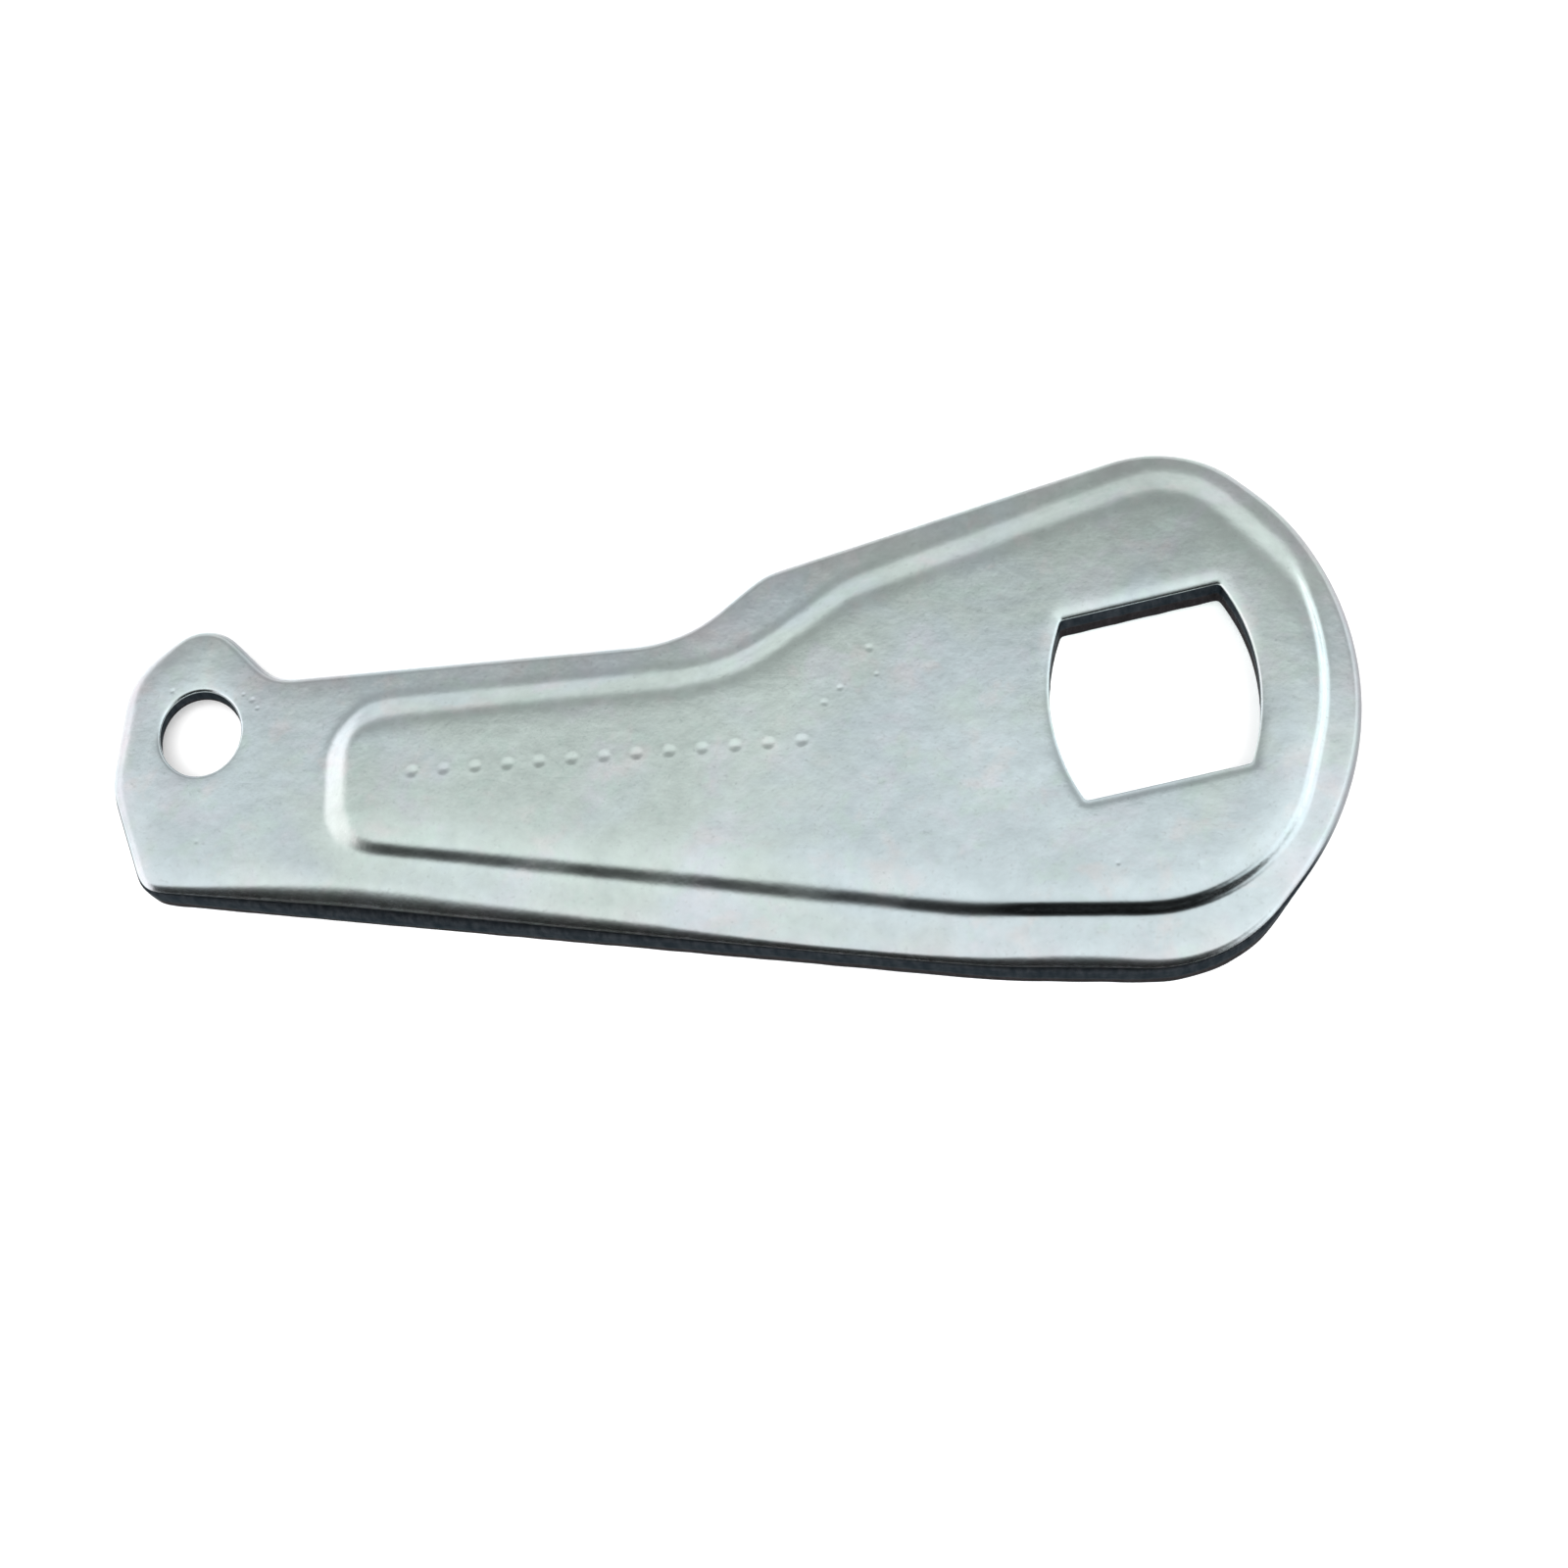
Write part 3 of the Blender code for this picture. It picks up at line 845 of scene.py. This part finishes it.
def zinc():
    material = bpy.data.materials.new("bright_zinc_plate")
    material.use_nodes = True
    k = Nodes(material.node_tree)
    out = k.node("ShaderNodeOutputMaterial")
    bsdf = k.node("ShaderNodeBsdfPrincipled")
    k.feed(out.inputs[0], bsdf.outputs[0])
    place = k.node("ShaderNodeTexCoord").outputs["Object"]
    mm = k.mapping(place, scale=(1000, 1000, 1000))
    shear, rim, cool, roll_shade, wall_shade_and_polish, tone = (
        k.node("ShaderNodeAttribute", attribute_name=name).outputs["Fac"]
        for name in ("shear", "rim", "cool", "roll_shade", "wall_shade_and_polish", "tone"))

    def patches(under, colour, fade, **noise):
        return k.mix(k.ramp(k.noise(mm, **noise), fade), under, colour)

    # passivation: slow clouds of green to blue, then lilac, rose and green patches
    blue = k.vary(k.noise(mm, scale=0.050, roughness=0.55, distortion=0.4), 2.6, cool)
    base = k.mix(k.ramp(blue, [(0.12, 0), (0.88, 1)]), (0.682, 0.790, 0.752),
                 (0.672, 0.780, 0.812))
    base = patches(base, colour=(0.735, 0.765, 0.825), fade=[(0.50, 0), (0.70, 0.55)],
                   scale=0.105, roughness=0.55, distortion=0.5)
    base = patches(base, colour=(0.790, 0.775, 0.775), fade=[(0.54, 0), (0.72, 0.50)],
                   scale=0.15, roughness=0.55, distortion=0.3)
    base = patches(base, colour=(0.650, 0.800, 0.745), fade=[(0.54, 0), (0.70, 0.50)],
                   scale=0.21, distortion=0.2)
    # a thin mauve tint along the outer edge
    patchy = k.ramp(k.noise(mm, scale=0.12, roughness=0.6), [(0.38, 0.15), (0.66, 0.80)])
    base = k.mix(k.math("MULTIPLY", rim, patchy), base, (0.735, 0.715, 0.745))
    # brightness mottling of the deposit, coarse to fine
    value = 1.0
    for scale, distortion, gain in ((0.11, 0.3, 0.20), (0.27, 0.0, 0.18), (0.62, 0.0, 0.13)):
        value = k.vary(k.noise(mm, scale, detail=2.0, distortion=distortion), gain, value)
    value = k.math("MULTIPLY", value, tone)
    grey = k.node("ShaderNodeCombineXYZ")
    for socket in grey.inputs:
        k.feed(socket, value)
    base = k.mix(1.0, base, grey.outputs[0], "MULTIPLY")
    # dark and light crystalline speckle, then faint stains
    base = patches(base, colour=(0.42, 0.48, 0.48), fade=[(0.28, 0.30), (0.44, 0), (1.0, 0)],
                   scale=1.3, detail=4.0, roughness=0.70)
    base = patches(base, colour=(0.93, 0.95, 0.95), fade=[(0.0, 0), (0.62, 0), (0.80, 0.35)],
                   scale=1.9, roughness=0.6)
    base = patches(base, colour=(0.46, 0.50, 0.46), fade=[(0.62, 0), (0.80, 0.20)],
                   scale=0.30, detail=5.0, roughness=0.65, distortion=1.2)

    # the sheared edges: burnished band above, torn band below, both streaked; their near-black
    # colours are painted shade standing in for the dark surroundings these walls reflect
    streak = k.noise(k.mapping(place, scale=(1000, 1000, 260)), scale=1.1, detail=4.0,
                     roughness=0.65)
    streak_fade = [(0.30, 0), (0.80, 1)]
    burnished = k.mix(k.ramp(streak, streak_fade), (0.017, 0.022, 0.027), (0.048, 0.054, 0.061))
    torn_shade_colour = k.mix(k.ramp(streak, streak_fade), (0.011, 0.0095, 0.0105),
                        (0.028, 0.023, 0.026))
    is_burnished = k.ramp(shear, [(0.0, 0), (0.20, 0), (0.75, 1)])
    is_torn = k.ramp(k.math("MULTIPLY", shear, 0.5), [(0.55, 0), (0.80, 1)])
    # painted shade on the outer roll of the +Y and +X sides
    base = k.mix(k.math("MULTIPLY", roll_shade, 0.80), base, (0.125, 0.120, 0.135))
    # painted shade on the drawn wall at the head's front
    base = k.mix(k.math("MULTIPLY", wall_shade_and_polish, 0.55), base, (0.22, 0.26, 0.27))
    colour = k.mix(is_torn, k.mix(is_burnished, base, burnished), torn_shade_colour)
    k.feed(bsdf.inputs["Base Color"], colour)
    # the torn shear is dull oxide rather than bright metal
    dull = k.math("MULTIPLY", is_torn, 0.85)
    k.feed(bsdf.inputs["Metallic"], k.math("SUBTRACT", 1.0, dull))
    bsdf.inputs["Specular IOR Level"].default_value = 0.07
    k.feed(bsdf.inputs["Specular Tint"],
           k.mix(is_burnished, (1.0, 1.0, 1.0), (0.45, 0.47, 0.48)))

    # roughness: satin and cloudy, rougher on the shear, smoother on the drawn wall
    clouds = k.noise(mm, scale=0.20, detail=4.0, roughness=0.6, distortion=0.5)
    grain = k.noise(mm, scale=1.2, roughness=0.6)
    rough = k.vary(grain, 0.08, k.vary(clouds, 0.12, 0.215))
    rough = k.math("ADD", rough, k.math("MULTIPLY", shear, 0.24))
    rough = k.math("MULTIPLY_ADD", wall_shade_and_polish, -0.05, rough)
    k.feed(bsdf.inputs["Roughness"], k.math("MINIMUM", rough, 0.7))

    # bump: deposit grain, orange peel, a few fine scratches, streaks on the shear
    deposit = k.noise(mm, scale=1.6, detail=4.0, roughness=0.62)
    peel = k.noise(mm, scale=0.34)
    stretched = k.mapping(place, scale=(60, 900, 1000), turn=-34)
    scratch = k.ramp(k.noise(stretched, scale=0.9, detail=1.0, roughness=0.4),
                     [(0.0, 0), (0.74, 0), (0.80, 1)], "LINEAR")
    relief = k.math("MULTIPLY", deposit, 0.40)
    relief = k.math("MULTIPLY_ADD", peel, 2.4, relief)
    relief = k.math("MULTIPLY_ADD", scratch, -0.10, relief)
    relief = k.math("MULTIPLY_ADD", k.math("MULTIPLY", streak, shear), 1.6, relief)
    bump = k.node("ShaderNodeBump")
    bump.inputs["Strength"].default_value = 0.30
    bump.inputs["Distance"].default_value = 0.00008
    k.feed(bump.inputs["Height"], relief)
    k.feed(bsdf.inputs["Normal"], bump.outputs[0])
    return material


plate = build_plate()
plate.data.materials.append(zinc())
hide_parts(NODE)
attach(plate, "root")


# ======================================================================================
#  Floor, light, camera
# ======================================================================================
def build_floor():
    bpy.ops.mesh.primitive_plane_add(size=6.0, location=(0, 0, -0.0002))
    obj = bpy.context.object
    obj.name = "floor"
    material = bpy.data.materials.new("pale_floor")
    material.use_nodes = True
    inputs = material.node_tree.nodes["Principled BSDF"].inputs
    inputs["Base Color"].default_value = (0.93, 0.93, 0.93, 1)
    inputs["Roughness"].default_value = 0.9
    inputs["Specular IOR Level"].default_value = 0.1
    inputs["Emission Color"].default_value = (1, 1, 1, 1)
    inputs["Emission Strength"].default_value = 0.34
    obj.data.materials.append(material)
    return obj


# Sky brightness by angle about X: degrees from overhead (+ towards +Y), brightness
SKY_ACROSS = [
    (-180, 0.5), (-125, 0.45), (-100, 0.012), (-60, 0.012), (-45, 0.04), (-34, 0.11),
    (-27, 0.25), (-21, 0.48), (-14, 0.78), (-7, 0.96), (2, 0.96), (12, 0.92), (20, 0.88),
    (26, 0.79), (30, 0.64), (34, 0.44), (39, 0.39), (49, 0.41), (57, 0.60), (65, 0.79),
    (80, 0.79), (94, 0.72), (180, 0.6),
]
# Sky gain along X: 0 at -X to 1 at +X, gain
SKY_ALONG = [(0.20, 1.04), (0.28, 1.03), (0.375, 0.97), (0.46, 1.0), (0.53, 1.05),
             (0.58, 1.10), (0.70, 1.16), (0.80, 1.06)]
# Bright panels at the two ends: how each fades in towards its end, and its colour
LEFT_FADE, LEFT_COLOUR = [(0.0, 0), (0.60, 0), (0.86, 1)], (1.40, 1.31, 1.33)
RIGHT_FADE, RIGHT_COLOUR = [(0.0, 0), (0.45, 0), (0.85, 1)], (1.22, 1.25, 1.26)
RIGHT_ACROSS = [(-76, 0), (-50, 1), (180, 1)]     # degrees as in SKY_ACROSS, strength


def build_world():
    world = bpy.data.worlds.new("studio")
    bpy.context.scene.world = world
    world.use_nodes = True
    k = Nodes(world.node_tree)
    out = k.node("ShaderNodeOutputWorld")
    background = k.node("ShaderNodeBackground")
    k.feed(out.inputs[0], background.outputs[0])
    axes = k.node("ShaderNodeSeparateXYZ")
    k.feed(axes.inputs[0], k.node("ShaderNodeTexCoord").outputs["Generated"])
    x, y, z = axes.outputs
    turn = k.math("MULTIPLY_ADD", k.math("ARCTAN2", y, z), 1 / (2 * math.pi), 0.5)

    def by_degrees(stops):
        return [(0.5 + degrees / 360.0, grey) for degrees, grey in stops]

    across = k.ramp(turn, by_degrees(SKY_ACROSS), "LINEAR")
    along = k.ramp(k.math("MULTIPLY_ADD", x, 0.5, 0.5), SKY_ALONG)
    sky = k.mix(1.0, across, along, "MULTIPLY")
    left = k.ramp(k.math("MULTIPLY", x, -1.0), LEFT_FADE)
    right = k.ramp(x, RIGHT_FADE)
    right = k.math("MULTIPLY", right, k.ramp(turn, by_degrees(RIGHT_ACROSS)))
    sky = k.mix(left, sky, LEFT_COLOUR)
    sky = k.mix(right, sky, RIGHT_COLOUR)
    k.feed(background.inputs[0], sky)
    background.inputs[1].default_value = 1.0


def build_light():
    """One broad overhead light for the floor, from the camera's side; shadows stay short."""
    light = bpy.data.lights.new("floor_key", "SUN")
    light.angle = math.radians(42)
    light.energy = 2.0
    obj = bpy.data.objects.new("floor_key", light)
    obj.location = (0.2, -0.5, 1.0)
    aim = Vector((0, 0, 0)) - obj.location
    obj.rotation_euler = aim.to_track_quat("-Z", "Y").to_euler()
    bpy.context.scene.collection.objects.link(obj)
    obj.visible_glossy = False


# The camera looks down on the raised face from the front, a little from the head end.
TILT, SWING = math.radians(27.85), math.radians(20.31)
LENS, REACH = 46.0, 0.2964    # focal length in mm, distance from the aim in metres


def build_camera():
    # the world's axes as the camera sees them are the rows of its rotation
    seen_z = Vector((-math.sin(TILT) * math.sin(SWING), math.sin(TILT) * math.cos(SWING),
                     math.cos(TILT)))
    seen_x = Vector((seen_z.z, 0, -seen_z.x)).normalized()
    rotation = Matrix((seen_x, seen_z.cross(seen_x), seen_z))
    aim = Vector((-ORIGIN[0] * MM, -ORIGIN[1] * MM, PLATE_T * MM))
    data = bpy.data.cameras.new("camera")
    data.lens = LENS
    data.sensor_width = 36.0
    data.clip_start = 0.01
    data.clip_end = 20.0
    obj = bpy.data.objects.new("camera", data)
    place = Matrix.Translation(aim + rotation @ Vector((0, 0, REACH)))
    obj.matrix_world = place @ rotation.to_4x4()
    bpy.context.scene.collection.objects.link(obj)
    bpy.context.scene.camera = obj


floor = build_floor()
build_world()
build_light()
view = bpy.context.scene.view_settings
view.view_transform = "Standard"
view.look = "None"
view.exposure = 0.0
view.gamma = 1.0
build_camera()
